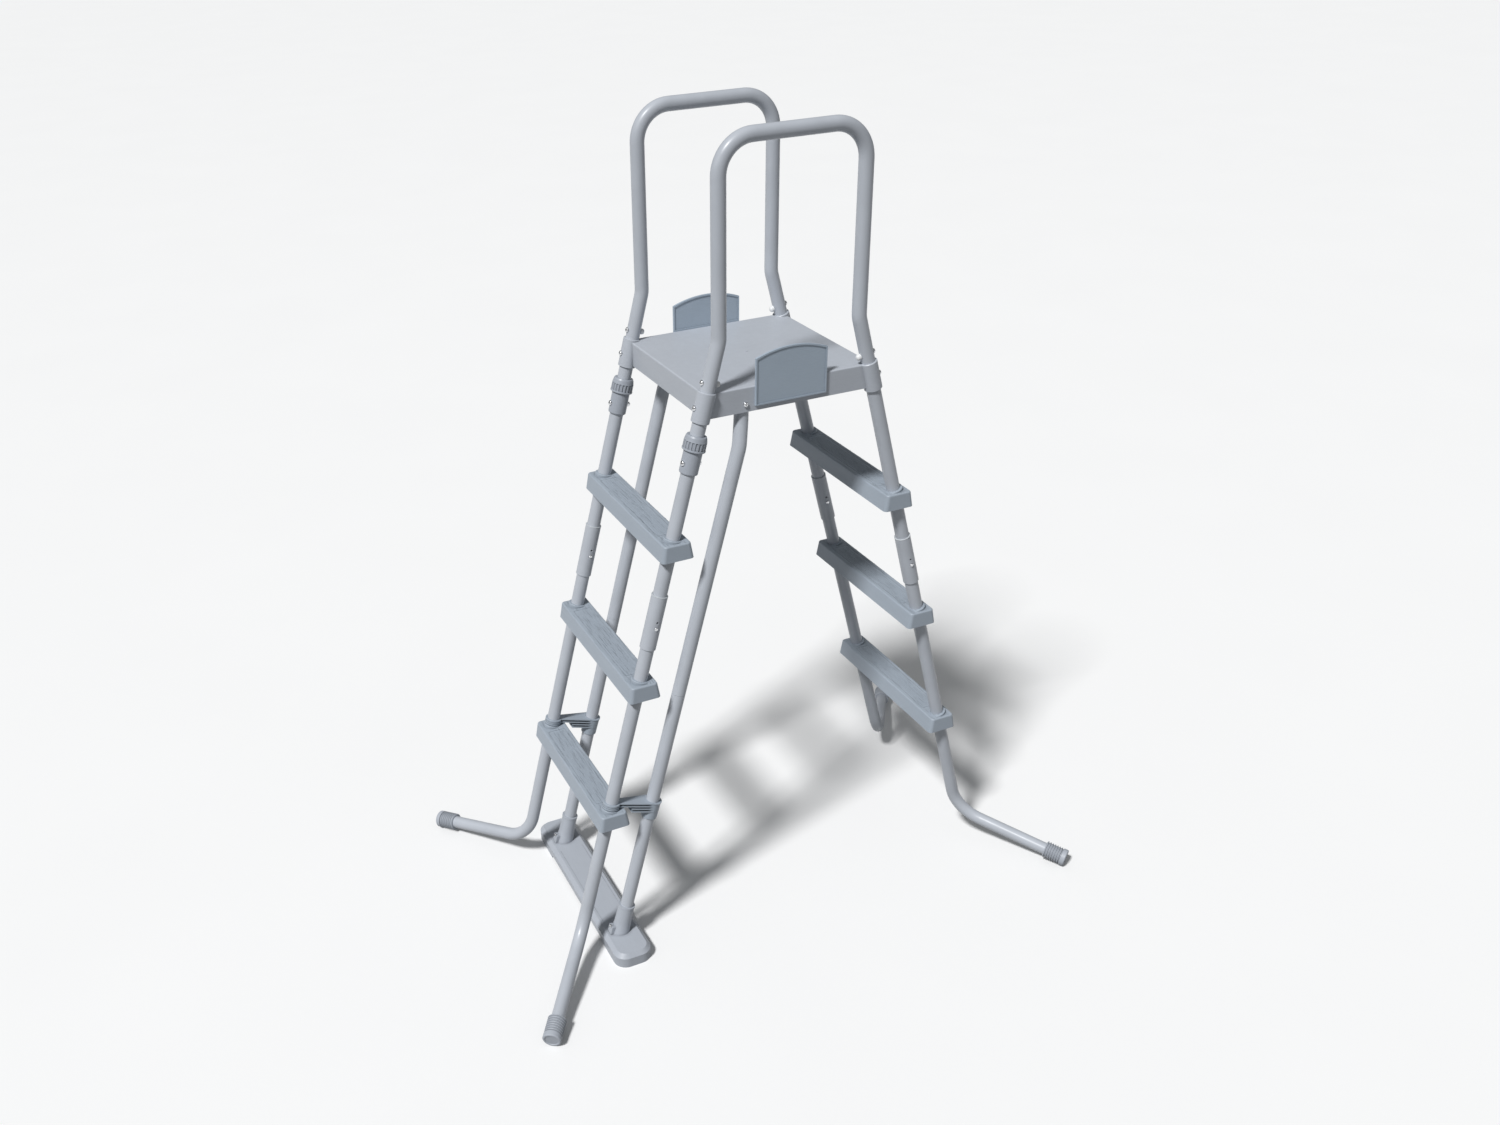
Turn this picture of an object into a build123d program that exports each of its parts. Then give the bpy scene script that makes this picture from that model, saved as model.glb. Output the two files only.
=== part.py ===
"""Above-ground pool ladder: an A-frame of bent steel tube with moulded steps and a platform.

Millimetres, +Z up, origin on the floor under the middle of the platform.
X runs across the pool wall: the entry ladder is at -X and the pool-side ladder at +X.
Y runs along the steps: "near" is -Y and "far" is +Y.
"""
from build123d import *
import math
import os

# ---------------------------------------------------------------- driving dimensions
TREAD_HEIGHT = 1320.0  # top of the platform, for a 52 inch pool wall
LEG_LEAN = 0.265  # sideways run of every leg for each unit of height
LEG_HALF_SPREAD = 183.0  # middle of the ladder to a leg, along the steps
LEG_TOP_X = 183.0  # middle of the ladder to a leg axis, at platform height
SUPPORT_TOP_X = 78.0  # the same for the line of the support legs
TUBE_R = 15.0
TUBE_WALL = 1.2
SLIP = 0.2  # radial clearance between nested parts that stay put
RUN = 0.25  # radial clearance between nested parts that slide
MOULD_WALL = 3.0

LEAN = math.atan(LEG_LEAN)
BORE_R = TUBE_R - TUBE_WALL
NECK_R = BORE_R - SLIP  # swaged tube end that plugs into the next tube

# platform
PLATFORM_X = 381.0
PLATFORM_Y = 377.0
SKIRT_HEIGHT = 52.0
TREAD_THICK = 3.5
SOCKET_R = 19.0
SOCKET_FOOT_Z = 1264.0
SOCKET_RIM = 4.0
SOCKET_LEDGE_Z = 1300.0  # where the handrail end meets the leg's shoulder

# handrails
RAIL_TOP_Z = 1798.5  # centreline of the grip
RAIL_HALF_X = 156.0
RAIL_GRIP_BEND = 70.0
RAIL_FOOT_BEND = 60.0
RAIL_BOLT_Z = 1340.0
NECK_TOP_Z = 1353.0
CORNER_SCREW_Z = 1290.0

# side plates
PLATE_HALF_X = 80.0
PLATE_FOOT_Z = 1279.0
PLATE_SHOULDER_Z = 1376.0
PLATE_CROWN_Z = 1391.5
PLATE_THICK = 5.0
PLATE_RIM = 3.0
PLATE_RECESS = 1.6

# steps
STEP_TOPS = (1020.0, 705.5, 391.0)
STEP_HEIGHT = 36.0
STEP_TOP_X = 60.0
STEP_TOP_Y = 420.0
STEP_FOOT_X = 73.0
STEP_FOOT_Y = 423.0
STEP_CORNER = 8.0
STEP_BOSS_R = 20.5
STEP_RIM = 3.6  # collar above the step's top

# union at the top of each entry leg
UNION_FOOT_Z = 1161.0
UNION_BOLT_Z = 1181.0
UNION_BOLT_TURNS = {-1: math.radians(12.0), 1: 0.0}  # near and far heads, from -X towards -Y
UNION_SLEEVE_R = 19.5
UNION_THREAD_R = 18.6
NUT_R = 23.6
NUT_FOOT_Z = 1208.0
NUT_HEIGHT = 31.0
NUT_FLANGE = 3.4
NUT_FLUTES = 20
NUT_FLUTE_R = 2.6
NUT_CONE_FOOT = 21.2
NUT_CONE_TOP = 28.6
LEG_IN_UNION_Z = 1190.0
UNION_MOUTH_Z = 1228.0
STUB_FOOT_Z = 1207.0

# couplers and snap buttons
COUPLER_R = 17.5
COUPLER_TOP_Z = 899.0
COUPLER_FOOT_Z = 780.5
LEG_JOINT_Z = 857.0
BUTTON_Z = 831.0
BUTTON_R = 4.0
BUTTON_PROUD = 2.4
SPARE_HOLE_Z = 845.0
SPARE_HOLE_R = 2.5

# flared lower legs
FLARE_TURN = math.radians(54.8)  # swing of the foot out of the ladder's own plane
FLARE_DROP = math.radians(9.8)
FLARE_BEND_R = 90.0
FLARE_TAIL = 227.0  # straight run from the bend to the tip of the foot cap
CAP_R = 21.0
CAP_LENGTH = 54.0
CAP_FLOOR = 6.0
CAP_RIBS = 7
CAP_RIB_PITCH = 5.9
CAP_RIB_DEPTH = 3.0

# support legs
SUPPORT_JOINT_Z = 646.0
SUPPORT_JOG_Z = 1195.0
SUPPORT_HEAD_Z = 1250.0
SUPPORT_HEAD_X = -100.5
SUPPORT_HEAD_Y = 170.0
SUPPORT_TIP_Z = 1308.0
SUPPORT_SCREW_Z = 1285.0

# base bar
BAR_X = -417.0
BAR_DEPTH = 90.0
BAR_LENGTH = 545.0
BAR_HEIGHT = 34.0
BAR_BEVEL = 9.0
BAR_PAD_Y = 165.0
BAR_LIFT = 8.0
BAR_SOLE = 2.5  # floor of the hollow end pads
BAR_COLLAR_TOP_Z = 104.0
BAR_TUBE_FOOT_Z = 10.0
BAR_PAD_REACH = 28.0  # from a support leg's axis to the face of its screw pad

# clip brackets
CLIP_RING_Z = 397.0
CLIP_RING_HEIGHT = 13.0
CLIP_COLLAR_TOP_Z = 383.0
CLIP_COLLAR_FOOT_Z = 342.0
CLIP_FINS = 4
CLIP_FIN_PITCH = 6.8
CLIP_FIN_THICK = 2.4
CLIP_ROOT_HALF = 9.0  # half width of a fin at the ring
CLIP_STEP_CLEAR = 48.0  # the arm's lower fins start this far out, past the step's edge
CLIP_STEP_RISE = 4.0  # underside of the arm above the ring's foot, over the step

SIDES = {"near": -1, "far": 1}
ENTRY, POOL = -1, 1  # sign of X of the two ladders
UP = (Align.CENTER, Align.CENTER, Align.MIN)


# ---------------------------------------------------------------- leg lines
def leg_x(ladder, height, top_x=LEG_TOP_X):
    """X of a leg axis at one height."""
    return ladder * (top_x + (TREAD_HEIGHT - height) * LEG_LEAN)


def leg_up(ladder):
    """Unit vector up along a leg."""
    return Vector(-ladder * math.sin(LEAN), 0, math.cos(LEAN))


def leg_plane(ladder, side, height, top_x=LEG_TOP_X):
    """Frame on a leg axis: Z up along the leg, X square to it on the side of +X, Y along the steps."""
    across = Vector(math.cos(LEAN), 0, ladder * math.sin(LEAN))
    point = (leg_x(ladder, height, top_x), side * LEG_HALF_SPREAD, height)
    return Plane(origin=point, x_dir=across, z_dir=leg_up(ladder))


def along(low, high):
    """Distance along a leg between two heights."""
    return (high - low) / math.cos(LEAN)


# ---------------------------------------------------------------- basic shapes
def rod(radius, length):
    return Cylinder(radius, length, align=UP)


def pipe(outer, inner, length):
    return rod(outer, length) - rod(inner, length)


def turned(points):
    """Solid of revolution about Z from (radius, height) points."""
    outline = Polyline([(r, 0, z) for r, z in points], close=True)
    return revolve(make_face(outline), Axis.Z)


def bent_path(points, radii):
    """Wire of straight runs through points, joined by tangent arcs at the inner points."""
    corners = [Vector(*p) for p in points]
    edges = []
    start = corners[0]
    for before, corner, after, radius in zip(corners, corners[1:], corners[2:], radii):
        arrive = (corner - before).normalized()
        leave = (after - corner).normalized()
        turn = math.acos(max(-1.0, min(1.0, arrive.dot(leave))))
        reach = radius * math.tan(turn / 2)
        arc_start = corner - arrive * reach
        arc_end = corner + leave * reach
        to_centre = (leave - arrive).normalized()
        crown = corner + to_centre * (radius / math.cos(turn / 2) - radius)
        edges.append(Line(start, arc_start))
        edges.append(ThreePointArc(arc_start, crown, arc_end))
        start = arc_end
    edges.append(Line(start, corners[-1]))
    return Wire([e.edge() for e in edges])


def bent_tube(points, radii, outer=TUBE_R, inner=BORE_R):
    """Hollow tube along a bent path."""
    path = bent_path(points, radii)
    section = Plane(origin=points[0], z_dir=path % 0) * (Circle(outer) - Circle(inner))
    return sweep(section, path=path)


def drilled(body, cutters):
    for cutter in cutters:
        body = body - cutter
    return body


def domed(radius, height, edge_round):
    """Disc or pin with a rounded top rim."""
    return fillet(rod(radius, height).edges().sort_by(Axis.Z)[-1], edge_round)


def dome_screw(shank_r, length, head_r, head_height):
    """Screw with a domed cross-slot head, pointing down: the head's seat is at Z = 0."""
    slot_size = head_r * 1.1
    slot_width = head_r * 0.22
    cross = Box(slot_size, slot_width, head_height) + Box(slot_width, slot_size, head_height)
    head = domed(head_r, head_height, head_height * 0.7) - Pos(0, 0, head_height * 1.1) * cross
    return head + Pos(0, 0, -length) * rod(shank_r, length)


def cross_plane(axis_plane, outward, radius):
    """Frame on a tube's surface whose Z points outward, square to the tube's axis."""
    origin = axis_plane.from_local_coords(tuple(radius * v for v in outward))
    direction = axis_plane.from_local_coords(outward) - axis_plane.origin
    return Plane(origin=origin, z_dir=direction)


def cross_hole(axis_plane, outward, start, end, radius):
    """Round cutter square to a tube's axis, between two distances from that axis."""
    frame = cross_plane(axis_plane, outward, end)
    return frame * Cylinder(radius, start - end, align=UP)


# ---------------------------------------------------------------- fasteners
BOLT_R = 3.0
BOLT_HOLE_R = 3.15
BOLT_HEAD_R = 5.6
BOLT_HEAD_HEIGHT = 4.2
CAP_NUT_R = 6.4
CAP_NUT_HEIGHT = 9.5
TAPPER_R = 2.0
TAPPER_HOLE_R = 2.1


def rail_bolt_seat(ladder, side):
    """Axis frame and outward direction of a handrail bolt."""
    return leg_plane(ladder, side, RAIL_BOLT_Z), (ladder, 0, 0)


def rail_bolt(ladder, side):
    frame, outward = rail_bolt_seat(ladder, side)
    length = 2 * TUBE_R + CAP_NUT_HEIGHT * 0.6
    return cross_plane(frame, outward, TUBE_R) * dome_screw(BOLT_R, length, BOLT_HEAD_R, BOLT_HEAD_HEIGHT)


def cap_nut(ladder, side):
    """Closed acorn nut on the inner side of the handrail."""
    frame, outward = rail_bolt_seat(ladder, side)
    inward = tuple(-v for v in outward)
    body = domed(CAP_NUT_R, CAP_NUT_HEIGHT, CAP_NUT_HEIGHT * 0.55) - rod(BOLT_R + 0.05, CAP_NUT_HEIGHT * 0.7)
    return cross_plane(frame, inward, TUBE_R) * body


def rail_bolt_hole(ladder, side):
    frame, outward = rail_bolt_seat(ladder, side)
    return cross_hole(frame, outward, 2 * TUBE_R, -2 * TUBE_R, BOLT_HOLE_R)


def corner_screw_parts(ladder, side):
    """Screw through a corner socket into the leg, and the hole that it needs."""
    frame = leg_plane(ladder, side, CORNER_SCREW_Z)
    outward = (ladder, 0, 0)
    screw = cross_plane(frame, outward, SOCKET_R) * dome_screw(BOLT_R, 9.0, BOLT_HEAD_R, BOLT_HEAD_HEIGHT)
    return screw, cross_hole(frame, outward, SOCKET_R + 1, SOCKET_R - 10, BOLT_HOLE_R)


def union_bolt_parts(side):
    """Bolt and nut through a union sleeve and the leg inside it, and the hole that they need."""
    frame = leg_plane(ENTRY, side, UNION_BOLT_Z)
    turn = UNION_BOLT_TURNS[side]
    outward = (-math.cos(turn), -math.sin(turn), 0)
    inward = tuple(-v for v in outward)
    bolt = cross_plane(frame, outward, UNION_SLEEVE_R) * dome_screw(
        BOLT_R, 2 * UNION_SLEEVE_R + 7, BOLT_HEAD_R, BOLT_HEAD_HEIGHT
    )
    nut = RegularPolygon(BOLT_HEAD_R, 6) - Circle(BOLT_R + 0.05)
    nut = cross_plane(frame, inward, UNION_SLEEVE_R) * extrude(nut, 5.0)
    return bolt, nut, cross_hole(frame, outward, 2 * UNION_SLEEVE_R, -2 * UNION_SLEEVE_R, BOLT_HOLE_R)


def step_screw_parts(ladder, side, top):
    """Self-tapping screw through the +X face of a step into the leg, and the hole that it needs."""
    height = top - STEP_HEIGHT / 2
    axis_x = leg_x(ladder, height)
    face_x = leg_x(ladder, top) + (STEP_TOP_X + STEP_FOOT_X) / 4
    reach = face_x - axis_x - TUBE_R
    seat = Plane(origin=(face_x - 1.0, side * LEG_HALF_SPREAD, height), z_dir=(1, 0, 0))
    screw = seat * dome_screw(TAPPER_R, reach + 3.0, 4.2, 2.8)
    hole = seat * Pos(0, 0, -reach - 4.0) * rod(TAPPER_HOLE_R, reach + 4.0)
    return screw, hole + seat * rod(4.6, 6.0)


def support_screw_parts(side):
    """Screw through the platform skirt into the head of a support leg, and its hole."""
    seat = Plane(origin=(SUPPORT_HEAD_X, side * PLATFORM_Y / 2, SUPPORT_SCREW_Z), z_dir=(0, side, 0))
    length = PLATFORM_Y / 2 - SUPPORT_HEAD_Y - BORE_R + 2
    screw = seat * dome_screw(BOLT_R, length, BOLT_HEAD_R, BOLT_HEAD_HEIGHT)
    return screw, seat * Pos(0, 0, -length - 1) * rod(BOLT_HOLE_R, length + 2)


def base_screw_parts(side):
    """Screw through the pad in front of a base collar into the support leg, and its hole."""
    height = BAR_HEIGHT + 12
    frame = leg_plane(ENTRY, side, height, SUPPORT_TOP_X)
    outward = (-1, 0, 0)
    screw = cross_plane(frame, outward, BAR_PAD_REACH) * dome_screw(TAPPER_R, BAR_PAD_REACH - 12, 4.4, 3.0)
    return screw, cross_hole(frame, outward, BAR_PAD_REACH + 1, 11, TAPPER_HOLE_R)


# ---------------------------------------------------------------- platform
def platform():
    """Moulded tread with a skirt, four leaning corner sockets and two heads for the support legs."""
    skirt_foot = TREAD_HEIGHT - SKIRT_HEIGHT
    outer = Pos(0, 0, skirt_foot) * extrude(RectangleRounded(PLATFORM_X, PLATFORM_Y, 12), SKIRT_HEIGHT)
    outer = fillet(outer.faces().sort_by(Axis.Z)[-1].edges(), 3.0)
    inner_x = PLATFORM_X - 2 * MOULD_WALL
    inner_y = PLATFORM_Y - 2 * MOULD_WALL
    hollow = Pos(0, 0, skirt_foot) * extrude(RectangleRounded(inner_x, inner_y, 9), SKIRT_HEIGHT - TREAD_THICK)
    deck = outer - hollow
    rib_depth = 16.0
    rib_pitch = 62.0
    ribs = Part()
    for row in range(-2, 3):
        offset = row * rib_pitch
        ribs += Pos(0, offset, TREAD_HEIGHT - 1 - rib_depth) * Box(inner_x + 2, 2.4, rib_depth, align=UP)
        ribs += Pos(offset, 0, TREAD_HEIGHT - 1 - rib_depth) * Box(2.4, inner_y + 2, rib_depth, align=UP)
    deck += ribs
    heads = [
        Pos(SUPPORT_HEAD_X, side * SUPPORT_HEAD_Y, skirt_foot + 3) * rod(TUBE_R + MOULD_WALL, SKIRT_HEIGHT - 4)
        for side in SIDES.values()
    ]
    for head in heads:
        deck += head & outer
    cutters = []
    for ladder in (ENTRY, POOL):
        for side in SIDES.values():
            frame = leg_plane(ladder, side, SOCKET_FOOT_Z)
            length = along(SOCKET_FOOT_Z, TREAD_HEIGHT + SOCKET_RIM)
            deck += frame * chamfer(rod(SOCKET_R, length).edges().sort_by(Axis.Z)[-1], 1.2)
            cutters.append(frame * Pos(0, 0, -5) * rod(TUBE_R + SLIP, length + 10))
            cutters.append(corner_screw_parts(ladder, side)[1])
    for side in SIDES.values():
        bore = rod(TUBE_R + SLIP, SUPPORT_TIP_Z + 1 - skirt_foot)
        cutters.append(Pos(SUPPORT_HEAD_X, side * SUPPORT_HEAD_Y, skirt_foot) * bore)
        cutters.append(support_screw_parts(side)[1])
    deck = drilled(deck, cutters)
    gate_mark = Pos(0, 0, TREAD_HEIGHT - 0.5) * rod(3.0, 1.3)
    return deck + gate_mark


def side_plate(side):
    """Arched toe guard that hangs on the skirt and stands above the tread, recessed on both faces."""
    def outline(inset, foot):
        half = PLATE_HALF_X - inset
        shoulder = PLATE_SHOULDER_Z - inset
        crown = PLATE_CROWN_Z - inset
        sides = Polyline((half, shoulder), (half, foot), (-half, foot), (-half, shoulder))
        arch = ThreePointArc((-half, shoulder), (0, crown), (half, shoulder))
        return make_face(sides.edges() + arch.edges())

    inner_y = PLATFORM_Y / 2 + 0.15
    inner = Plane(origin=(0, side * inner_y, 0), x_dir=(side, 0, 0), z_dir=(0, -side, 0))
    outer = Plane(origin=(0, side * (inner_y + PLATE_THICK), 0), x_dir=(-side, 0, 0), z_dir=(0, side, 0))
    body = extrude(outer * outline(0, PLATE_FOOT_Z), -PLATE_THICK)
    body -= extrude(outer * outline(PLATE_RIM, PLATE_FOOT_Z + PLATE_RIM), -PLATE_RECESS)
    return body - extrude(inner * outline(PLATE_RIM, TREAD_HEIGHT + PLATE_RIM), -PLATE_RECESS)


# ---------------------------------------------------------------- tubes
def handrail(side):
    """Closed hoop: two leaning feet, two uprights and a level grip."""
    y = side * LEG_HALF_SPREAD
    kink_z = TREAD_HEIGHT + (LEG_TOP_X - RAIL_HALF_X) / LEG_LEAN
    foot_x = leg_x(POOL, SOCKET_LEDGE_Z)
    points = [
        (-foot_x, y, SOCKET_LEDGE_Z),
        (-RAIL_HALF_X, y, kink_z),
        (-RAIL_HALF_X, y, RAIL_TOP_Z),
        (RAIL_HALF_X, y, RAIL_TOP_Z),
        (RAIL_HALF_X, y, kink_z),
        (foot_x, y, SOCKET_LEDGE_Z),
    ]
    rail = bent_tube(points, (RAIL_FOOT_BEND, RAIL_GRIP_BEND, RAIL_GRIP_BEND, RAIL_FOOT_BEND))
    return drilled(rail, [rail_bolt_hole(ladder, side) for ladder in (ENTRY, POOL)])


def necked_leg(ladder, side, foot_z):
    """Leg tube whose top is swaged down to plug into a handrail."""
    shoulder = along(foot_z, SOCKET_LEDGE_Z) - SLIP
    top = along(foot_z, NECK_TOP_Z)
    taper = 3.0
    profile = [
        (BORE_R, 0),
        (TUBE_R, 0),
        (TUBE_R, shoulder),
        (NECK_R, shoulder),
        (NECK_R, top),
        (NECK_R - TUBE_WALL, top),
        (NECK_R - TUBE_WALL, shoulder - taper),
        (BORE_R, shoulder - 2 * taper),
    ]
    tube = leg_plane(ladder, side, foot_z) * turned(profile)
    return drilled(tube, [rail_bolt_hole(ladder, side), corner_screw_parts(ladder, side)[1]])


def step_holes(ladder, side, low, high):
    """Screw holes for the steps that lie between two heights."""
    return [step_screw_parts(ladder, side, top)[1] for top in STEP_TOPS if low < top < high]


def stub_tube(side):
    return necked_leg(ENTRY, side, STUB_FOOT_Z)


def inner_upper_leg(side):
    leg = necked_leg(POOL, side, LEG_JOINT_Z)
    return drilled(leg, step_holes(POOL, side, LEG_JOINT_Z, TREAD_HEIGHT))


def outer_upper_leg(side):
    tube = leg_plane(ENTRY, side, LEG_JOINT_Z) * pipe(TUBE_R, BORE_R, along(LEG_JOINT_Z, LEG_IN_UNION_Z))
    holes = step_holes(ENTRY, side, LEG_JOINT_Z, LEG_IN_UNION_Z)
    return drilled(tube, holes + [union_bolt_parts(side)[2]])


def flare_points(ladder, side):
    """Top, corner and tip of a flared lower leg, with the tip's cap resting on the floor."""
    down = leg_up(ladder) * -1
    level = math.cos(FLARE_DROP)
    outward = Vector(
        ladder * math.cos(FLARE_TURN) * level,
        side * math.sin(FLARE_TURN) * level,
        -math.sin(FLARE_DROP),
    )
    turn = math.acos(down.dot(outward))
    reach = FLARE_BEND_R * math.tan(turn / 2)
    tip_z = CAP_R * level
    corner_z = tip_z - outward.Z * (reach + FLARE_TAIL)
    corner = Vector(leg_x(ladder, corner_z), side * LEG_HALF_SPREAD, corner_z)
    tip = corner + outward * (reach + FLARE_TAIL)
    top = Vector(leg_x(ladder, LEG_JOINT_Z - 1), side * LEG_HALF_SPREAD, LEG_JOINT_Z - 1)
    return top, corner, tip, outward


def lower_leg(ladder, side):
    """Lower leg with its flared foot, drilled for the snap button and the step screws."""
    top, corner, tip, outward = flare_points(ladder, side)
    end = tip - outward * CAP_FLOOR
    tube = bent_tube([tuple(top), tuple(corner), tuple(end)], (FLARE_BEND_R,))
    return drilled(tube, button_holes(ladder, side) + step_holes(ladder, side, 0, LEG_JOINT_Z))


def foot_cap(ladder, side):
    """Push-on cap: sloping ribs, a plain end band and a recessed end face."""
    tip, outward = flare_points(ladder, side)[2:]
    core = CAP_R - CAP_RIB_DEPTH
    bore = TUBE_R + SLIP
    floor = CAP_LENGTH - CAP_FLOOR
    recess_r = CAP_R - 6
    profile = [(0, CAP_LENGTH - 1.5), (0, floor), (bore, floor), (bore, 0)]
    for rib in range(CAP_RIBS):
        foot = rib * CAP_RIB_PITCH
        profile += [(core, foot), (CAP_R - 0.4, foot + 1.6), (CAP_R, foot + 2.3), (CAP_R - 0.4, foot + 3.0)]
        profile += [(core, foot + 4.4)]
    band = CAP_RIBS * CAP_RIB_PITCH
    profile += [(core, band), (CAP_R, band + 1), (CAP_R, CAP_LENGTH - 2), (CAP_R - 2, CAP_LENGTH)]
    profile += [(recess_r + 1, CAP_LENGTH), (recess_r, CAP_LENGTH - 1.5)]
    origin = tip - outward * CAP_LENGTH
    return Plane(origin=tuple(origin), z_dir=tuple(outward)) * turned(profile)


def support_lower(side):
    length = along(BAR_TUBE_FOOT_Z, SUPPORT_JOINT_Z)
    tube = leg_plane(ENTRY, side, BAR_TUBE_FOOT_Z, SUPPORT_TOP_X) * pipe(TUBE_R, BORE_R, length)
    return tube - base_screw_parts(side)[1]


def support_upper(side):
    """Upper support leg: a plug in the lower one, a long run, and a jog in to the platform head."""
    y = side * LEG_HALF_SPREAD
    foot_z = SUPPORT_JOINT_Z + 0.5
    head_y = side * SUPPORT_HEAD_Y
    points = [
        (leg_x(ENTRY, foot_z, SUPPORT_TOP_X), y, foot_z),
        (leg_x(ENTRY, SUPPORT_JOG_Z, SUPPORT_TOP_X), y, SUPPORT_JOG_Z),
        (SUPPORT_HEAD_X, head_y, SUPPORT_HEAD_Z),
        (SUPPORT_HEAD_X, head_y, SUPPORT_TIP_Z),
    ]
    tube = bent_tube(points, (90.0, 90.0))
    plug_z = foot_z - 60
    frame = leg_plane(ENTRY, side, plug_z, SUPPORT_TOP_X)
    plug = frame * pipe(NECK_R, NECK_R - TUBE_WALL, along(plug_z, foot_z) + 6)
    collar = frame * Pos(0, 0, along(plug_z, foot_z)) * pipe(BORE_R + 0.4, NECK_R - TUBE_WALL, 6)
    return (tube + plug + collar) - support_screw_parts(side)[1]


# ---------------------------------------------------------------- steps
def tapered_block(top_x, top_y, foot_x, foot_y, height, corner):
    """Block with vertical-sided rounded corners that widens from top to foot; top at Z = 0."""
    top = RectangleRounded(top_x, top_y, corner)
    foot = Pos(0, 0, -height) * RectangleRounded(foot_x, foot_y, corner + 1)
    return loft([foot, top])


def step(ladder):
    """Top step of a ladder: an inverted tray with ribs, leaning leg sleeves and raised collars."""
    top = STEP_TOPS[0]
    centre = Pos(leg_x(ladder, top), 0, top)
    solid = tapered_block(STEP_TOP_X, STEP_TOP_Y, STEP_FOOT_X, STEP_FOOT_Y, STEP_HEIGHT, STEP_CORNER)
    wall = 2 * MOULD_WALL
    hollow = tapered_block(
        STEP_TOP_X - wall, STEP_TOP_Y - wall, STEP_FOOT_X - wall, STEP_FOOT_Y - wall, STEP_HEIGHT, STEP_CORNER - 2
    )
    hollow = Pos(0, 0, -MOULD_WALL) * hollow
    shell = fillet(solid.faces().sort_by(Axis.Z)[-1].edges(), 3.5) - hollow
    rib_drop = STEP_HEIGHT - 10
    ribs = Part()
    for row in range(-3, 4):
        ribs += Pos(0, row * 42.0, -rib_drop) * Box(STEP_FOOT_X, 2.4, rib_drop - 1, align=UP)
    ribs += Pos(0, 0, -rib_drop) * Box(2.4, STEP_TOP_Y - 110, rib_drop - 1, align=UP)
    shell += ribs & solid
    shell = centre * shell
    block = centre * solid
    cutters = []
    for side in SIDES.values():
        frame = leg_plane(ladder, side, top)
        sleeve = frame * Pos(0, 0, -STEP_HEIGHT - 15) * rod(STEP_BOSS_R, STEP_HEIGHT + 30)
        collar = frame * Pos(0, 0, -8) * domed(STEP_BOSS_R, 8 + STEP_RIM, 1.6)
        shell += (sleeve & block) + collar
        cutters.append(frame * Pos(0, 0, -STEP_HEIGHT - 20) * rod(TUBE_R + SLIP, STEP_HEIGHT + 60))
        cutters.append(step_screw_parts(ladder, side, top)[1])
    border_x = STEP_TOP_X - 18
    border_y = 2 * (LEG_HALF_SPREAD - STEP_BOSS_R - 8)
    border = RectangleRounded(border_x, border_y, 4) - RectangleRounded(border_x - 2.4, border_y - 2.4, 3)
    grip = Part()
    for row in range(-3, 4):
        grip += Pos(row * 4.6, 0, 0) * Box(1.0, border_y - 16, 0.9)
    shell = drilled(shell, cutters)
    return shell - centre * Pos(0, 0, -0.7) * extrude(border, 2) + centre * grip


# ---------------------------------------------------------------- unions
def union_sleeve(side):
    """Sleeve bolted on an entry leg; its threaded mouth takes the stub tube."""
    length = along(UNION_FOOT_Z, NUT_FOOT_Z)
    mouth = along(UNION_FOOT_Z, UNION_MOUTH_Z)
    body = chamfer(rod(UNION_SLEEVE_R, length - 0.6).edges().sort_by(Axis.Z)[0], 1.5)
    body += rod(UNION_THREAD_R, mouth)
    body -= rod(TUBE_R + RUN, mouth)
    return leg_plane(ENTRY, side, UNION_FOOT_Z) * body - union_bolt_parts(side)[2]


def nut_cone_r(height):
    """Radius inside the ring nut's cone at a height above its foot."""
    share = (NUT_CONE_TOP - height) / (NUT_CONE_TOP - NUT_CONE_FOOT)
    return TUBE_R + 0.7 + share * (UNION_THREAD_R + RUN - TUBE_R - 0.7)


def ring_nut(side):
    """Fluted nut with a conical top that squeezes the collet on the stub tube."""
    bore = UNION_THREAD_R + RUN
    mouth = nut_cone_r(NUT_CONE_TOP)
    flute_foot = NUT_FLANGE + 0.8
    flute_top = NUT_HEIGHT * 0.64
    profile = [
        (bore, 0),
        (NUT_R + 0.3, 0),
        (NUT_R + 0.8, 0.6),
        (NUT_R + 0.8, NUT_FLANGE - 0.6),
        (NUT_R, NUT_FLANGE),
        (NUT_R, flute_top),
        (NUT_R - 1.8, NUT_HEIGHT - 3),
        (NUT_R - 3.4, NUT_HEIGHT),
        (mouth, NUT_HEIGHT),
        (mouth, NUT_CONE_TOP),
        (bore, NUT_CONE_FOOT),
    ]
    nut = turned(profile)
    flute = Pos(NUT_R + 0.4, 0, flute_foot) * rod(NUT_FLUTE_R, flute_top - flute_foot)
    for turn in range(NUT_FLUTES):
        nut -= Rot(0, 0, turn * 360 / NUT_FLUTES) * flute
    return leg_plane(ENTRY, side, NUT_FOOT_Z) * nut


def collet(side):
    """Split tapered ring between the ring nut's cone and the stub tube."""
    foot = NUT_CONE_FOOT + 0.2
    top = NUT_CONE_TOP - 0.6
    bore = TUBE_R + RUN
    profile = [(bore, foot), (nut_cone_r(foot) - RUN, foot), (nut_cone_r(top) - RUN, top), (bore, top)]
    split = Pos(UNION_THREAD_R, 0, foot) * Box(2 * UNION_THREAD_R, 1.6, NUT_HEIGHT)
    return leg_plane(ENTRY, side, NUT_FOOT_Z) * (turned(profile) - split)


# ---------------------------------------------------------------- couplers and snap buttons
BUTTON_SIDE = (0, -1, 0)  # every button faces the near side
BUTTON_HOLE_R = BUTTON_R + RUN


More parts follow.
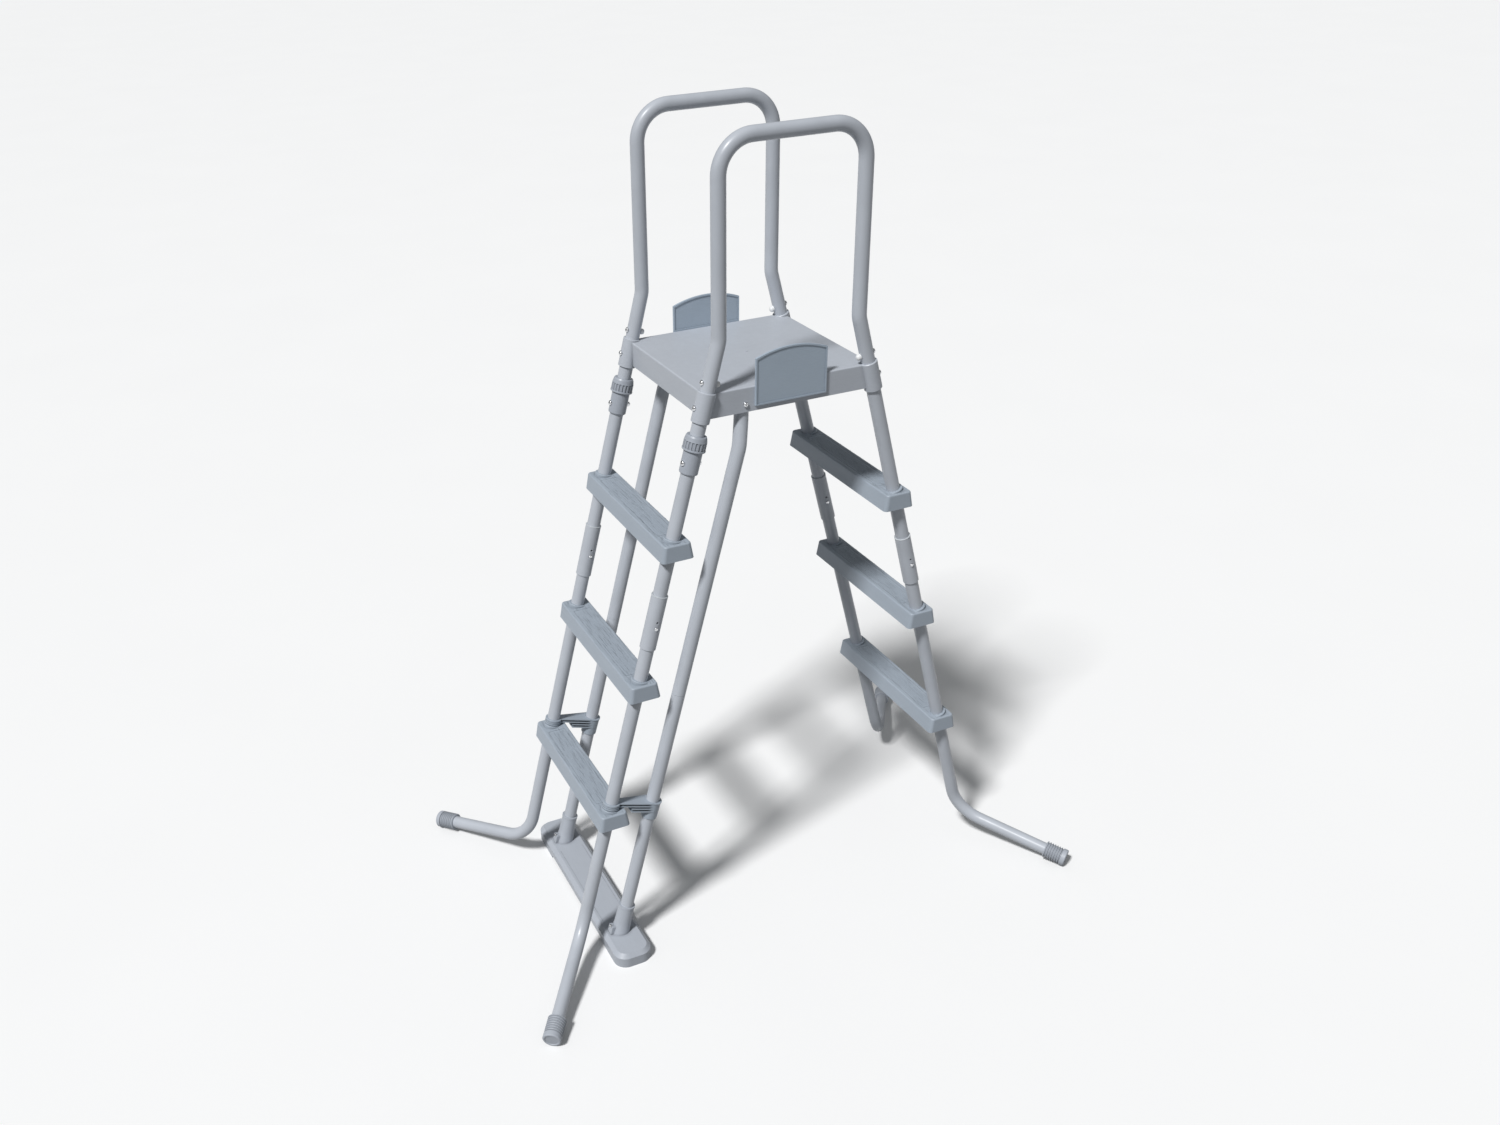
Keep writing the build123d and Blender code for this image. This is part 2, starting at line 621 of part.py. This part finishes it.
def button_holes(ladder, side):
    """Holes for the snap button and the spare hole above it."""
    low = leg_plane(ladder, side, BUTTON_Z)
    high = leg_plane(ladder, side, SPARE_HOLE_Z)
    return [
        cross_hole(low, BUTTON_SIDE, COUPLER_R + 2, 8, BUTTON_HOLE_R),
        cross_hole(high, BUTTON_SIDE, COUPLER_R + 2, 8, SPARE_HOLE_R),
    ]


def coupler(ladder, side):
    length = along(COUPLER_FOOT_Z, COUPLER_TOP_Z)
    body = chamfer(rod(COUPLER_R, length).edges().sort_by(Axis.Z)[0], 0.8) - rod(TUBE_R + SLIP, length)
    return drilled(leg_plane(ladder, side, COUPLER_FOOT_Z) * body, button_holes(ladder, side))


def coupler_ring(ladder, side):
    """Pale plastic lip on the top edge of a coupler."""
    ring = domed(COUPLER_R + 0.3, 1.9, 0.7) - rod(TUBE_R + SLIP, 1.9)
    return leg_plane(ladder, side, COUPLER_TOP_Z) * Pos(0, 0, 0.05) * ring


SPRING_R = 11.3
FLANGE_TOP = 12.6
FLANGE_FOOT = 11.5


def snap_button(ladder, side):
    """Domed pin with a flange that stays inside the lower leg."""
    flange = rod(BUTTON_R + 0.8, FLANGE_TOP - FLANGE_FOOT)
    pin = domed(BUTTON_R, COUPLER_R + BUTTON_PROUD - FLANGE_FOOT, 2.2)
    frame = cross_plane(leg_plane(ladder, side, BUTTON_Z), BUTTON_SIDE, FLANGE_FOOT)
    return frame * (flange + pin)


def button_spring(ladder, side):
    """U-shaped leaf spring inside the lower leg, behind the button."""
    leaf = 0.8
    arm = 14.0
    height = arm + 22.0

    def hairpin(radius):
        return Circle(radius) + Pos(0, height / 2) * Rectangle(2 * radius, height)

    bow = hairpin(SPRING_R) - hairpin(SPRING_R - leaf) - Pos(0, height) * Rectangle(40, 2 * leaf)
    strip = extrude(Plane.YZ * bow, 3.5, both=True)
    return leg_plane(ladder, side, BUTTON_Z) * Pos(0, 0, arm - height) * strip


# ---------------------------------------------------------------- base bar and clips
def base_bar():
    """Bevelled bar that rests on two end pads and carries the support legs in leaning collars."""
    def slab(inset, bottom, top):
        return Pos(BAR_X, 0, bottom) * extrude(
            RectangleRounded(BAR_DEPTH - 2 * inset, BAR_LENGTH - 2 * inset, 30 - inset), top - bottom
        )

    outer = slab(0, 0, BAR_HEIGHT)
    outer = chamfer(outer.faces().sort_by(Axis.Z)[-1].edges(), BAR_BEVEL)
    bar = outer - slab(MOULD_WALL, BAR_SOLE, BAR_HEIGHT - BAR_BEVEL - 1)
    deck_top = BAR_HEIGHT - MOULD_WALL
    crown = Pos(BAR_X, 0, BAR_SOLE) * extrude(
        RectangleRounded(BAR_DEPTH - 2 * BAR_BEVEL - 8, BAR_LENGTH - 2 * BAR_BEVEL - 8, 18), deck_top - BAR_SOLE
    )
    bar -= crown
    ribs = Part()
    for row in range(-6, 7):
        ribs += Pos(BAR_X, row * 40.0, BAR_LIFT + 1) * Box(BAR_DEPTH - 3, 2.4, 20, align=UP)
    bar += ribs & outer
    bar -= Pos(BAR_X, 0, 0) * Box(2 * BAR_DEPTH, 2 * BAR_PAD_Y, 2 * BAR_LIFT)
    cutters = []
    for side in SIDES.values():
        foot = leg_plane(ENTRY, side, BAR_TUBE_FOOT_Z, SUPPORT_TOP_X)
        length = along(BAR_TUBE_FOOT_Z, BAR_COLLAR_TOP_Z)
        flare_top = along(BAR_TUBE_FOOT_Z, BAR_HEIGHT + 22)
        flare_foot = along(BAR_TUBE_FOOT_Z, BAR_HEIGHT - 6)
        rim = TUBE_R + 3.6
        collar = turned(
            [(0, -4), (rim + 2, -4), (rim + 4.5, flare_foot), (rim + 1, flare_top), (rim, length - 6),
             (rim + 0.8, length - 5), (rim + 0.8, length), (0, length)]
        )
        pad_depth = BAR_PAD_REACH - 8
        pad = Pos(-8 - pad_depth / 2, 0, flare_foot) * Box(pad_depth, 18, 20, align=UP)
        bar += foot * collar + foot * pad
        cutters.append(foot * rod(TUBE_R + SLIP, length + 5))
        cutters.append(base_screw_parts(side)[1])
    floor_cut = Pos(BAR_X, 0, -30) * Box(2 * BAR_DEPTH, BAR_LENGTH + 50, 30, align=UP)
    border = RectangleRounded(BAR_DEPTH - 30, BAR_LENGTH - 34, 18) - RectangleRounded(BAR_DEPTH - 33, BAR_LENGTH - 37, 16.5)
    middle = Pos(BAR_X, 0, BAR_HEIGHT - 0.7) * extrude(border & Rectangle(BAR_DEPTH, 2 * BAR_PAD_Y - 50), 2)
    return drilled(bar, cutters + [floor_cut, middle])


def clip(side):
    """Bracket from an entry leg to its support leg: grooved ring, widening fins and a tapered collar."""
    frame = leg_plane(ENTRY, side, CLIP_RING_Z)
    spacing = (LEG_TOP_X - SUPPORT_TOP_X) * math.cos(LEAN)
    sunk = (LEG_TOP_X - SUPPORT_TOP_X) * math.sin(LEAN)
    collar_foot = along(CLIP_RING_Z, CLIP_COLLAR_FOOT_Z) + sunk
    collar_top = along(CLIP_RING_Z, CLIP_COLLAR_TOP_Z) + sunk
    ring_r = TUBE_R + 4.4
    collar_r = TUBE_R + 4.8
    ring = domed(ring_r, CLIP_RING_HEIGHT, 1.2)
    for groove in range(2):
        ring -= Pos(0, 0, 3.4 + 4.0 * groove) * pipe(ring_r + 1, ring_r - 1, 1.4)
    collar = turned([(0, collar_foot), (TUBE_R + 3.2, collar_foot), (collar_r, collar_top - 3.2),
                     (collar_r + 1.4, collar_top - 1.4), (collar_r + 1.4, collar_top), (0, collar_top)])
    corners = [(0, -CLIP_ROOT_HALF), (spacing, -collar_r), (spacing, collar_r), (0, CLIP_ROOT_HALF)]
    fin = extrude(make_face(Polyline(corners, close=True)), CLIP_FIN_THICK)
    fin_top = CLIP_RING_HEIGHT - CLIP_FIN_THICK
    drop = (CLIP_FINS - 1) * CLIP_FIN_PITCH
    arm = Pos(spacing / 2, 0, fin_top - drop) * Box(spacing, CLIP_FIN_THICK, drop + 1, align=UP)
    end_rib = Box(CLIP_FIN_THICK, 2 * CLIP_ROOT_HALF, drop + 1, align=UP)
    arm += Pos(CLIP_STEP_CLEAR + CLIP_FIN_THICK / 2, 0, fin_top - drop) * end_rib
    for row in range(CLIP_FINS):
        arm += Pos(0, 0, fin_top - row * CLIP_FIN_PITCH) * fin
    step_room = Box(2 * CLIP_STEP_CLEAR, 60, 60, align=(Align.CENTER, Align.CENTER, Align.MAX))
    arm -= Pos(0, 0, CLIP_STEP_RISE) * step_room
    body = ring + arm + Pos(spacing, 0, 0) * collar
    body -= Pos(0, 0, -100) * rod(TUBE_R + SLIP, 200)
    body -= Pos(spacing, 0, -100) * rod(TUBE_R + RUN + 0.05, 200)
    return frame * body


# ---------------------------------------------------------------- output
def group(solids):
    return Compound(children=[s for shape in solids for s in shape.solids()])


def all_nodes():
    nodes = {"platform": platform(), "base_bar": base_bar()}
    legs = [(ladder, side) for ladder in (ENTRY, POOL) for side in SIDES.values()]
    for name, side in SIDES.items():
        nodes["handrail_" + name] = handrail(side)
        nodes["side_plate_" + name] = side_plate(side)
        nodes["stub_tube_" + name] = stub_tube(side)
        nodes["union_sleeve_" + name] = union_sleeve(side)
        nodes["ring_nut_" + name] = ring_nut(side)
        nodes["collet_" + name] = collet(side)
        nodes["outer_upper_leg_" + name] = outer_upper_leg(side)
        nodes["inner_upper_leg_" + name] = inner_upper_leg(side)
        nodes["support_upper_" + name] = support_upper(side)
        nodes["support_lower_" + name] = support_lower(side)
        nodes["clip_" + name] = clip(side)
        for prefix, ladder in (("outer", ENTRY), ("inner", POOL)):
            nodes[prefix + "_lower_leg_" + name] = lower_leg(ladder, side)
            nodes[prefix + "_foot_cap_" + name] = foot_cap(ladder, side)
            nodes[prefix + "_coupler_" + name] = coupler(ladder, side)
            nodes[prefix + "_button_" + name] = snap_button(ladder, side)
    for prefix, ladder in (("outer", ENTRY), ("inner", POOL)):
        top_step = step(ladder)
        for number, top in enumerate(STEP_TOPS, start=1):
            drop = Pos(leg_x(ladder, top) - leg_x(ladder, STEP_TOPS[0]), 0, top - STEP_TOPS[0])
            nodes[f"{prefix}_step_{number}"] = drop * top_step
        screws = [step_screw_parts(ladder, side, top)[0] for side in SIDES.values() for top in STEP_TOPS]
        nodes[prefix + "_step_screws"] = group(screws)
        nodes[prefix + "_button_springs"] = group([button_spring(ladder, side) for side in SIDES.values()])
        nodes[prefix + "_coupler_rings"] = group([coupler_ring(ladder, side) for side in SIDES.values()])
    nodes["rail_bolts"] = group([rail_bolt(*leg) for leg in legs])
    nodes["rail_cap_nuts"] = group([cap_nut(*leg) for leg in legs])
    nodes["corner_screws"] = group([corner_screw_parts(*leg)[0] for leg in legs])
    nodes["union_bolts"] = group([part for side in SIDES.values() for part in union_bolt_parts(side)[:2]])
    nodes["support_screws"] = group([support_screw_parts(side)[0] for side in SIDES.values()])
    nodes["base_screws"] = group([base_screw_parts(side)[0] for side in SIDES.values()])
    return nodes


os.makedirs("parts", exist_ok=True)
for node, shape in all_nodes().items():
    export_step(shape, f"parts/{node}.step")
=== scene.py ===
"""Looks of the pool ladder: painted tube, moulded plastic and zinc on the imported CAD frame.

Metres, +Z up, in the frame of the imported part. Every visible piece is a CAD node that keeps its mesh;
this script gives each one a procedural material, then adds the floor, the light and the camera.
"""

import math

import bpy
from mathutils import Matrix, Vector


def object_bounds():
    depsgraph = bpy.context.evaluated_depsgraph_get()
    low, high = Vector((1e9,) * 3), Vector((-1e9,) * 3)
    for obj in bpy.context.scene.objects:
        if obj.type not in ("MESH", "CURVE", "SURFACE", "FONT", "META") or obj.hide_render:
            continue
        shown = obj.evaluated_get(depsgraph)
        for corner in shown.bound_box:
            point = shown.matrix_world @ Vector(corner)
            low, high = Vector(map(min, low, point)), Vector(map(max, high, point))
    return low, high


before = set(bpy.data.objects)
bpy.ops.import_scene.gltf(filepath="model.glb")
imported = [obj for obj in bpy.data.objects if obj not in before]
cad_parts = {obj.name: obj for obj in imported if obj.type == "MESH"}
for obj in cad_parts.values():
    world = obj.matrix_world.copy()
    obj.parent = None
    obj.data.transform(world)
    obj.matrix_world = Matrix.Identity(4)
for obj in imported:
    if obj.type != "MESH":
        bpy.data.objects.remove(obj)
cad_box = [list(corner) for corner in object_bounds()]

MM = 0.001  # sizes below are in metres

# ---------------------------------------------------------------- camera and light
CAMERA_PLACE = Vector((-1.277, -2.433, 2.278))
CAMERA_YAW = math.radians(22.69)  # from +Y towards +X
CAMERA_PITCH = math.radians(28.98)  # down from level
CAMERA_ROLL = math.radians(2.09)
CAMERA_SHIFT = (0.0728, 0.0169)
SENSOR_WIDTH = 36.0
LENS = 32.72

SUN_FROM = Vector((-0.53, -0.28, 0.80))  # towards the sun
SUN_DISTANCE = 4.0
SUN_POWER = 3.05
SUN_SPREAD = math.radians(9)
SKY_COLOUR = (0.95, 0.98, 1.0)
SKY_POWER = 0.22
BACKDROP_POWER = 0.92  # the sky as the camera sees it, near the floor's own brightness
FLOOR_HALF = 40.0  # half the side of the square floor

# ---------------------------------------------------------------- colours, linear
PAINT = (0.49, 0.52, 0.57)
STEP_GREY = (0.355, 0.405, 0.465)
DECK_GREY = (0.47, 0.50, 0.55)
PLATE_GREY = (0.39, 0.46, 0.54)
UNION_GREY = (0.37, 0.40, 0.45)
CAP_GREY = (0.42, 0.45, 0.50)
BAR_GREY = (0.43, 0.46, 0.51)
LIP_GREY = (0.52, 0.55, 0.58)
PALE_PLASTIC = (0.80, 0.81, 0.82)
ZINC = (0.72, 0.73, 0.75)
SPRING_GREY = (0.30, 0.31, 0.33)
FLOOR_WHITE = (0.96, 0.96, 0.96)

# ---------------------------------------------------------------- texture
ALONG_STEPS = (1.0, 16.0, 1.0)  # grain drawn out along Y
ALONG_PLATES = (6.0, 1.0, 1.0)
ALONG_TUBES = (1.0, 1.0, 5.0)
OVER_DECK = (5.0, 5.0, 1.0)
GROOVE_SHADE = 0.75  # how far the grooves of moulded parts fall towards the painted shade in them
TREAD_RIDGE = 3.2 * MM  # width of the wavy ridges on the treads
TREAD_RIDGE_DEPTH = 0.5 * MM


class Look:
    """The node tree of one material, with a short call for each kind of node that the looks share."""

    def __init__(self, name):
        self.material = bpy.data.materials.new(name)
        self.material.use_nodes = True
        self.tree = self.material.node_tree
        self.tree.nodes.clear()
        self.shader = self.node("ShaderNodeBsdfPrincipled")
        output = self.node("ShaderNodeOutputMaterial")
        self.tree.links.new(self.shader.outputs[0], output.inputs["Surface"])
        self.place = self.node("ShaderNodeTexCoord").outputs["Object"]

    def node(self, kind, **settings):
        made = self.tree.nodes.new(kind)
        for name, value in settings.items():
            setattr(made, name, value)
        return made

    def feed(self, socket, value):
        """Sets a socket to a number or colour, or links it to another node's output."""
        if isinstance(value, bpy.types.NodeSocket):
            self.tree.links.new(value, socket)
        elif isinstance(value, tuple) and len(value) == 3 and len(socket.default_value) == 4:
            socket.default_value = (*value, 1.0)
        else:
            socket.default_value = value

    def math(self, operation, first, second=0.0):
        made = self.node("ShaderNodeMath", operation=operation)
        self.feed(made.inputs[0], first)
        self.feed(made.inputs[1], second)
        return made.outputs[0]

    def remap(self, value, low, high, to_low=0.0, to_high=1.0):
        made = self.node("ShaderNodeMapRange")
        for name, setting in zip(
            ("Value", "From Min", "From Max", "To Min", "To Max"), (value, low, high, to_low, to_high)
        ):
            self.feed(made.inputs[name], setting)
        return made.outputs[0]

    def noise(self, grain, detail=2.0, stretch=(1.0, 1.0, 1.0)):
        """Noise from 0 to 1 whose grains are about this many metres wide, longer along stretched axes."""
        mapping = self.node("ShaderNodeMapping")
        self.feed(mapping.inputs["Vector"], self.place)
        mapping.inputs["Scale"].default_value = [1.0 / (grain * long) for long in stretch]
        made = self.node("ShaderNodeTexNoise")
        self.feed(made.inputs["Vector"], mapping.outputs[0])
        made.inputs["Scale"].default_value = 1.0
        made.inputs["Detail"].default_value = detail
        return made.outputs[0]

    def ridges(self, grain, stretch):
        """Lines from 0 to 1 that wander along the stretched axis."""
        return self.remap(self.noise(grain, detail=2.0, stretch=stretch), 0.56, 0.64)

    def upward(self):
        """1 on faces that look up, 0 on the others."""
        split = self.node("ShaderNodeSeparateXYZ")
        self.feed(split.inputs[0], self.node("ShaderNodeNewGeometry").outputs["Normal"])
        return self.remap(split.outputs["Z"], 0.90, 0.97)

    def blend(self, share, first, second):
        """Colour between two colours."""
        made = self.node("ShaderNodeMix", data_type="RGBA")
        self.feed(made.inputs["Factor"], share)
        self.feed(made.inputs["A"], first)
        self.feed(made.inputs["B"], second)
        return made.outputs["Result"]

    def cover(self, mask, share, under, over):
        """One colour under another that lies as thick as a share of the mask."""
        return self.blend(self.math("MULTIPLY", mask, share), under, over)

    def edge(self, radius):
        """Share from 0 to 1 that rises on edges and corners closer than the radius."""
        rounded = self.node("ShaderNodeBevel", samples=4)
        rounded.inputs["Radius"].default_value = radius
        sharp = self.node("ShaderNodeNewGeometry").outputs["Normal"]
        turn = self.node("ShaderNodeVectorMath", operation="DOT_PRODUCT")
        self.feed(turn.inputs[0], rounded.outputs[0])
        self.feed(turn.inputs[1], sharp)
        return self.remap(turn.outputs["Value"], 0.995, 0.90)

    def painted_shade_in_hollows(self, reach):
        """Mask for painted shade: 0 on open surfaces, rising towards 1 deep in corners and grooves."""
        made = self.node("ShaderNodeAmbientOcclusion", samples=6, only_local=True)
        made.inputs["Distance"].default_value = reach
        return self.math("SUBTRACT", 1.0, made.outputs["AO"])

    def bump(self, height, depth, under=None):
        """Normal raised by a height from 0 to 1 over a depth in metres."""
        made = self.node("ShaderNodeBump")
        made.inputs["Strength"].default_value = 1.0
        made.inputs["Distance"].default_value = depth
        self.feed(made.inputs["Height"], height)
        if under is not None:
            self.feed(made.inputs["Normal"], under)
        return made.outputs[0]

    def finish(self, colour, roughness, normal, constants):
        """The material, with its three linked inputs and the shader values that stay constant."""
        self.feed(self.shader.inputs["Base Color"], colour)
        self.feed(self.shader.inputs["Roughness"], roughness)
        self.feed(self.shader.inputs["Normal"], normal)
        for name, value in constants.items():
            self.shader.inputs[name].default_value = value
        return self.material


def scaled(colour, factor):
    return tuple(channel * factor for channel in colour)


def painted_tube(name, colour):
    """Satin powder coat: fine orange peel, faint cloudiness, and bright wear on cut edges and holes."""
    look = Look(name)
    cloud = look.remap(look.noise(60 * MM, detail=3), 0.3, 0.7)
    speck = look.remap(look.noise(0.9 * MM, detail=1), 0.60, 0.78)
    scuff = look.remap(look.noise(14 * MM, detail=6, stretch=(1, 1, 2.5)), 0.62, 0.72)
    worn = look.math("MULTIPLY", look.edge(0.7 * MM), look.remap(look.noise(3 * MM, detail=4), 0.36, 0.58))
    body = look.blend(cloud, scaled(colour, 0.955), scaled(colour, 1.035))
    body = look.cover(speck, 0.14, body, scaled(colour, 0.74))
    body = look.cover(scuff, 0.10, body, scaled(colour, 1.3))
    body = look.cover(worn, 0.55, body, scaled(colour, 1.4))
    # painted shade: the coat darkens deep in corners and where parts meet
    body = look.cover(look.painted_shade_in_hollows(12 * MM), 0.35, body, scaled(colour, 0.42))
    gloss = look.remap(look.noise(22 * MM, detail=4), 0.3, 0.7, 0.33, 0.43)
    gloss = look.math("ADD", gloss, look.math("MULTIPLY", scuff, 0.10))
    peel = look.bump(look.noise(1.7 * MM, detail=2), 0.05 * MM)
    peel = look.bump(look.noise(24 * MM, detail=1, stretch=(1, 1, 3)), 0.12 * MM, under=peel)
    return look.finish(body, gloss, peel, {"IOR": 1.48, "Coat Weight": 0.12, "Coat Roughness": 0.22})


def moulded_plastic(name, colour, streak=(1.0, 1.0, 1.0), gloss=0.44, tread=False):
    """Moulded polypropylene: spark-eroded grain, drawn streaks, pale rubbed edges and painted shade in the
    corners.

    A tread also has coarse wavy ridges along the step on its upward faces.
    """
    look = Look(name)
    cloud = look.remap(look.noise(75 * MM, detail=4), 0.3, 0.7)
    drawn = look.remap(look.noise(2.6 * MM, detail=5, stretch=streak), 0.40, 0.66)
    speck = look.remap(look.noise(0.7 * MM, detail=1), 0.58, 0.74)
    worn = look.math("MULTIPLY", look.edge(1.1 * MM), look.remap(look.noise(5 * MM, detail=5), 0.30, 0.62))
    body = look.cover(cloud, 0.18, colour, scaled(colour, 1.15))
    body = look.cover(drawn, 0.12, body, scaled(colour, 1.25))
    body = look.cover(speck, 0.16, body, scaled(colour, 0.74))
    body = look.cover(worn, 0.42, body, scaled(colour, 1.45))
    # painted shade: the colour darkens deep in grooves and corners
    body = look.cover(look.painted_shade_in_hollows(9 * MM), GROOVE_SHADE, body, scaled(colour, 0.25))
    shine = look.remap(look.noise(16 * MM, detail=5, stretch=streak), 0.3, 0.7, gloss - 0.06, gloss + 0.06)
    shine = look.math("SUBTRACT", shine, look.math("MULTIPLY", worn, 0.10))
    grain = look.bump(look.noise(0.9 * MM, detail=2), 0.07 * MM)
    grain = look.bump(drawn, 0.06 * MM, under=grain)
    grain = look.bump(look.noise(55 * MM, detail=1), 0.5 * MM, under=grain)
    if tread:
        ridge = look.math("MULTIPLY", look.ridges(TREAD_RIDGE, streak), look.upward())
        body = look.cover(ridge, 0.30, body, scaled(colour, 0.62))
        grain = look.bump(ridge, TREAD_RIDGE_DEPTH, under=grain)
    return look.finish(body, shine, grain, {"IOR": 1.49})


def plated_steel(name, colour, gloss):
    """Bright zinc or bare spring steel: spangle, fine scratches and dull patches."""
    look = Look(name)
    spangle = look.remap(look.noise(1.6 * MM, detail=3), 0.35, 0.65)
    body = look.blend(spangle, scaled(colour, 0.82), scaled(colour, 1.12))
    # painted shade: the steel darkens deep in recesses and where parts meet
    body = look.cover(look.painted_shade_in_hollows(3 * MM), 0.75, body, scaled(colour, 0.25))
    scratch = look.noise(0.35 * MM, detail=2, stretch=(1, 1, 9))
    shine = look.remap(look.noise(2.5 * MM, detail=5), 0.3, 0.7, gloss - 0.07, gloss + 0.12)
    return look.finish(body, shine, look.bump(scratch, 0.02 * MM), {"Metallic": 1.0})


# ---------------------------------------------------------------- which node has which look
LOOKS = {
    "painted_tube": painted_tube("painted_tube", PAINT),
    "step_plastic": moulded_plastic("step_plastic", STEP_GREY, ALONG_STEPS, tread=True),
    "deck_plastic": moulded_plastic("deck_plastic", DECK_GREY, OVER_DECK, gloss=0.40),
    "plate_plastic": moulded_plastic("plate_plastic", PLATE_GREY, ALONG_PLATES),
    "bar_plastic": moulded_plastic("bar_plastic", BAR_GREY, ALONG_STEPS),
    "clip_plastic": moulded_plastic("clip_plastic", STEP_GREY),
    "cap_plastic": moulded_plastic("cap_plastic", CAP_GREY, gloss=0.50),
    "union_plastic": moulded_plastic("union_plastic", UNION_GREY, ALONG_TUBES, gloss=0.38),
    "lip_plastic": moulded_plastic("lip_plastic", LIP_GREY, gloss=0.40),
    "pale_plastic": moulded_plastic("pale_plastic", PALE_PLASTIC, gloss=0.36),
    "zinc_steel": plated_steel("zinc_steel", ZINC, 0.22),
    "spring_steel": plated_steel("spring_steel", SPRING_GREY, 0.26),
}
# The slot names are those of the materials in model.glb; a node whose name starts as on the left has a look
# of its own.
SLOT_LOOKS = {
    "tube_paint": "painted_tube",
    "step_plastic": "step_plastic",
    "union_plastic": "union_plastic",
    "white_plastic": "pale_plastic",
    "zinc_steel": "zinc_steel",
    "spring_steel": "spring_steel",
}
NODE_LOOKS = {
    "platform": "deck_plastic",
    "side_plate": "plate_plastic",
    "base_bar": "bar_plastic",
    "clip": "clip_plastic",
    "outer_foot_cap": "cap_plastic",
    "inner_foot_cap": "cap_plastic",
    "outer_coupler_rings": "lip_plastic",
    "inner_coupler_rings": "lip_plastic",
}


def look_of(node, slot_name):
    for start, look_name in NODE_LOOKS.items():
        if node.startswith(start):
            return LOOKS[look_name]
    return LOOKS[SLOT_LOOKS[slot_name.split(".")[0]]]


def dress(nodes):
    for node, piece in nodes.items():
        for slot in piece.material_slots:
            slot.material = look_of(node, slot.material.name)


# ---------------------------------------------------------------- floor, light and camera
def add_floor():
    look = Look("floor_white")
    cloud = look.remap(look.noise(0.6, detail=3), 0.3, 0.7)
    body = look.blend(cloud, scaled(FLOOR_WHITE, 0.99), FLOOR_WHITE)
    material = look.finish(body, 0.7, look.bump(look.noise(3 * MM), 0.02 * MM), {"Specular IOR Level": 0.2})
    corners = [(x * FLOOR_HALF, y * FLOOR_HALF, 0.0) for x, y in ((-1, -1), (1, -1), (1, 1), (-1, 1))]
    mesh = bpy.data.meshes.new("floor")
    mesh.from_pydata(corners, [], [(0, 1, 2, 3)])
    mesh.materials.append(material)
    floor = bpy.data.objects.new("floor", mesh)
    bpy.context.scene.collection.objects.link(floor)
    floor.visible_diffuse = False  # a pale floor this wide would light the piece from below and flatten it


def aim(thing, place, target):
    thing.location = place
    thing.rotation_euler = (target - place).to_track_quat("-Z", "Y").to_euler()
    bpy.context.scene.collection.objects.link(thing)


def add_light(middle):
    sun = bpy.data.lights.new("key", "SUN")
    sun.energy = SUN_POWER
    sun.angle = SUN_SPREAD
    aim(bpy.data.objects.new("key", sun), middle + SUN_FROM * SUN_DISTANCE, middle)
    world = bpy.data.worlds.new("studio")
    world.use_nodes = True
    tree = world.node_tree
    backdrop = tree.nodes["Background"]
    backdrop.inputs["Color"].default_value = (*SKY_COLOUR, 1.0)
    power = tree.nodes.new("ShaderNodeMapRange")
    power.inputs["To Min"].default_value = SKY_POWER
    power.inputs["To Max"].default_value = BACKDROP_POWER
    tree.links.new(tree.nodes.new("ShaderNodeLightPath").outputs["Is Camera Ray"], power.inputs["Value"])
    tree.links.new(power.outputs["Result"], backdrop.inputs["Strength"])
    bpy.context.scene.world = world


def add_camera():
    ahead = Vector(
        (
            math.sin(CAMERA_YAW) * math.cos(CAMERA_PITCH),
            math.cos(CAMERA_YAW) * math.cos(CAMERA_PITCH),
            -math.sin(CAMERA_PITCH),
        )
    )
    lens = bpy.data.cameras.new("camera")
    lens.sensor_width = SENSOR_WIDTH
    lens.lens = LENS
    lens.shift_x, lens.shift_y = CAMERA_SHIFT
    camera = bpy.data.objects.new("camera", lens)
    turn = ahead.to_track_quat("-Z", "Y").to_matrix().to_4x4() @ Matrix.Rotation(-CAMERA_ROLL, 4, "Z")
    camera.matrix_world = Matrix.Translation(CAMERA_PLACE) @ turn
    bpy.context.scene.collection.objects.link(camera)
    bpy.context.scene.camera = camera


dress(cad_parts)
add_floor()
add_light(Vector((0.0, 0.0, cad_box[1][2] / 2)))
add_camera()
bpy.context.scene.view_settings.view_transform = "Standard"
